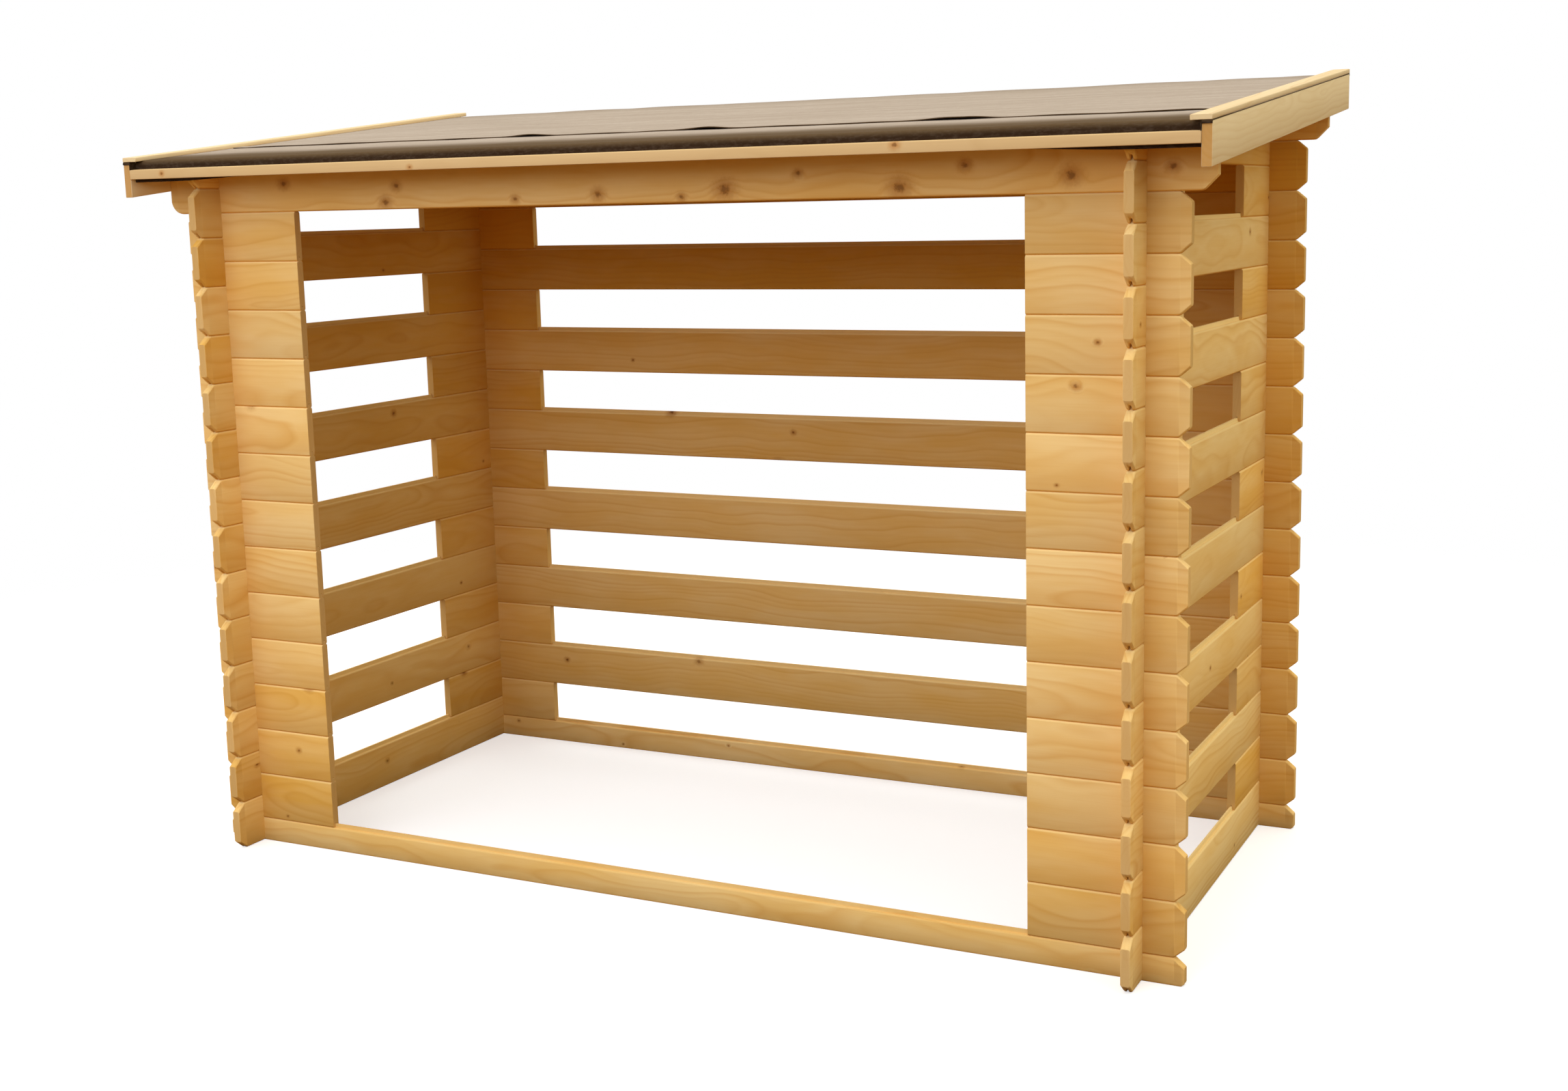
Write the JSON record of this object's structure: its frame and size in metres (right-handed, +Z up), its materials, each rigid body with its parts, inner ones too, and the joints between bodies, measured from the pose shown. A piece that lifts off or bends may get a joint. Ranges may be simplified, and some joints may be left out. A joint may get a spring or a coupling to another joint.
{
  "type": "timber log store",
  "caption": "Open-fronted log store of cross-notched spruce logs with slatted back and side walls and a felted pent roof.",
  "frame": {"origin": "on the ground under the middle of the roof's outline", "axes": "+X to the right seen from the open front, along the long side; +Y to the closed back; +Z up"},
  "size_m": [2.36, 1.19, 1.6739],
  "materials": {
    "spruce_logs": "planed spruce, unpainted",
    "pale_spruce_trim": "planed spruce, unpainted",
    "deck_spruce": "planed spruce, unpainted",
    "roofing_felt": "mineral felt"
  },
  "bodies": {
    "root": {"back_left_spacers": "spruce_logs", "back_purlin": "spruce_logs", "back_right_spacers": "spruce_logs", "back_sill_log": "spruce_logs", "back_slat_1": "spruce_logs", "back_slat_2": "spruce_logs", "back_slat_3": "spruce_logs", "back_slat_4": "spruce_logs", "back_slat_5": "spruce_logs", "back_slat_6": "spruce_logs", "back_slat_7": "spruce_logs", "barge_boards": "pale_spruce_trim", "cover_strips": "pale_spruce_trim", "eave_battens": "pale_spruce_trim", "felt_lower_sheet": "roofing_felt", "felt_upper_sheet": "roofing_felt", "front_left_logs_lower": "spruce_logs", "front_left_logs_upper": "spruce_logs", "front_right_logs_lower": "spruce_logs", "front_right_logs_upper": "spruce_logs", "front_sill_log": "spruce_logs", "header_log": "spruce_logs", "left_back_spacers": "spruce_logs", "left_front_spacers": "spruce_logs", "left_gable_log": "spruce_logs", "left_gable_wedge": "spruce_logs", "left_slat_1": "spruce_logs", "left_slat_2": "spruce_logs", "left_slat_3": "spruce_logs", "left_slat_4": "spruce_logs", "left_slat_5": "spruce_logs", "left_slat_6": "spruce_logs", "left_slat_7": "spruce_logs", "right_back_spacers": "spruce_logs", "right_front_spacers": "spruce_logs", "right_gable_log": "spruce_logs", "right_gable_wedge": "spruce_logs", "right_slat_1": "spruce_logs", "right_slat_2": "spruce_logs", "right_slat_3": "spruce_logs", "right_slat_4": "spruce_logs", "right_slat_5": "spruce_logs", "right_slat_6": "spruce_logs", "right_slat_7": "spruce_logs", "roof_deck": "deck_spruce"}
  },
  "joints": []
}
